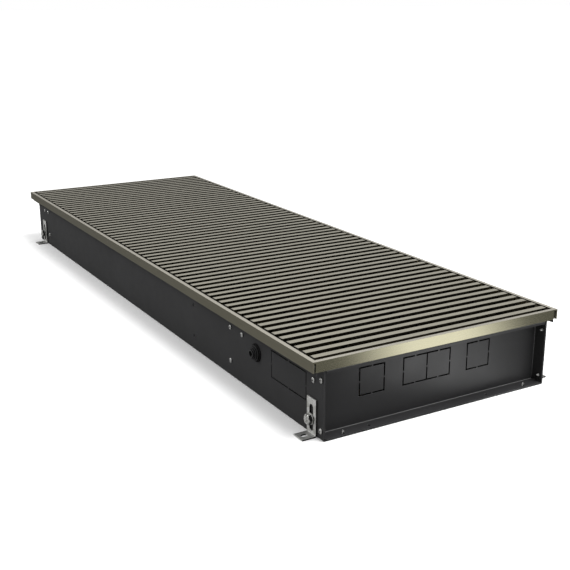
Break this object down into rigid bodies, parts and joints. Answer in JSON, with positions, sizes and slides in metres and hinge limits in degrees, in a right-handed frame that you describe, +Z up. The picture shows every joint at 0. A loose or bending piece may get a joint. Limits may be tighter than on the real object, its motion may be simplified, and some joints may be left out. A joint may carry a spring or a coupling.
{
  "type": "trench convector heater",
  "caption": "Fan-assisted convector for a channel in the floor: black sheet trough, finned coil and crossflow fan under a roll-up slatted aluminium grille, on adjustable feet.",
  "frame": {"origin": "on the floor of the trench, under the middle of the heater", "axes": "+X across the trench, +Y along it away from the pipe and cable end, +Z up"},
  "size_m": [0.414, 1.201, 0.11],
  "materials": {
    "black_steel": "matt powder coat",
    "black_steel_ends": "matt powder coat",
    "bronze_aluminium": "brushed, light bronze anodised",
    "slat_aluminium": "satin, light bronze anodised",
    "zinc_steel": "bright zinc plate",
    "galvanised_sheet": "galvanised",
    "stainless_steel": "bright",
    "black_rubber": "moulded",
    "black_plastic": "moulded",
    "grey_plastic": "moulded",
    "white_plastic": "moulded",
    "copper": "drawn copper",
    "fin_aluminium": "rolled foil",
    "brass": "turned",
    "sintered_bronze": "sintered"
  },
  "bodies": {
    "heater": {"trough": "black_steel", "front_end_plate": "black_steel_ends", "rear_end_plate": "black_steel_ends", "front_partition": "black_steel", "rear_partition": "black_steel", "front_cover_plate": "black_steel", "rear_cover_plate": "black_steel", "left_frame_rail": "bronze_aluminium", "right_frame_rail": "bronze_aluminium", "front_frame_rail": "bronze_aluminium", "rear_frame_rail": "bronze_aluminium", "frame_corner_keys": "zinc_steel", "frame_screws": "zinc_steel", "cushion_strips": "black_rubber", "foot_bolts": "zinc_steel", "foot_washers": "zinc_steel", "foot_rivet_nuts": "zinc_steel", "side_screws": "zinc_steel", "floor_screws": "zinc_steel", "cable_grommet": "black_rubber", "coil_tubes": "copper", "coil_bends": "copper", "coil_fins": "fin_aluminium", "coil_end_plates": "galvanised_sheet", "pipe_connectors": "brass", "connector_bracket": "galvanised_sheet", "vent_body": "brass", "fan_bearings": "sintered_bronze", "fan_plates": "galvanised_sheet", "fan_scroll": "galvanised_sheet", "fan_tongue": "galvanised_sheet", "fan_motor": "black_plastic", "motor_bracket": "galvanised_sheet", "control_box": "grey_plastic", "control_box_lid": "grey_plastic", "control_box_screws": "zinc_steel", "terminal_block": "white_plastic", "motor_lead": "black_rubber", "lead_grommet": "black_rubber", "earth_stud": "brass"},
    "grille": {"grille_slats": "slat_aluminium", "grille_strings": "stainless_steel", "grille_spacers": "black_plastic"},
    "fan_rotor": {"fan_wheels": "black_plastic", "fan_shaft": "stainless_steel", "motor_coupling": "black_rubber"},
    "vent_screw": {"vent_screw": "stainless_steel"},
    "front_left_foot": {"front_left_foot": "zinc_steel"},
    "front_right_foot": {"front_right_foot": "zinc_steel"},
    "rear_left_foot": {"rear_left_foot": "zinc_steel"},
    "rear_right_foot": {"rear_right_foot": "zinc_steel"}
  },
  "joints": [
    {"name": "grille_lift", "type": "slide", "parent": "heater", "child": "grille", "axis": [0, 0, 1], "range_m": [0, 0.15]},
    {"name": "fan_spin", "type": "hinge", "parent": "heater", "child": "fan_rotor", "pos_m": [-0.112, 0.1, 0.046], "axis": [0, 1, 0], "continuous": true},
    {"name": "vent_screw_turn", "type": "hinge", "parent": "heater", "child": "vent_screw", "pos_m": [-0.02725, -0.396, 0.072], "axis": [0, 0, 1], "range_deg": [0, 360]},
    {"name": "front_left_foot_slide", "type": "slide", "parent": "heater", "child": "front_left_foot", "axis": [0, 0, 1], "range_m": [-0.0145, 0.0115]},
    {"name": "front_right_foot_slide", "type": "slide", "parent": "heater", "child": "front_right_foot", "axis": [0, 0, 1], "range_m": [-0.0145, 0.0115]},
    {"name": "rear_left_foot_slide", "type": "slide", "parent": "heater", "child": "rear_left_foot", "axis": [0, 0, 1], "range_m": [-0.0145, 0.0115]},
    {"name": "rear_right_foot_slide", "type": "slide", "parent": "heater", "child": "rear_right_foot", "axis": [0, 0, 1], "range_m": [-0.0145, 0.0115]}
  ]
}
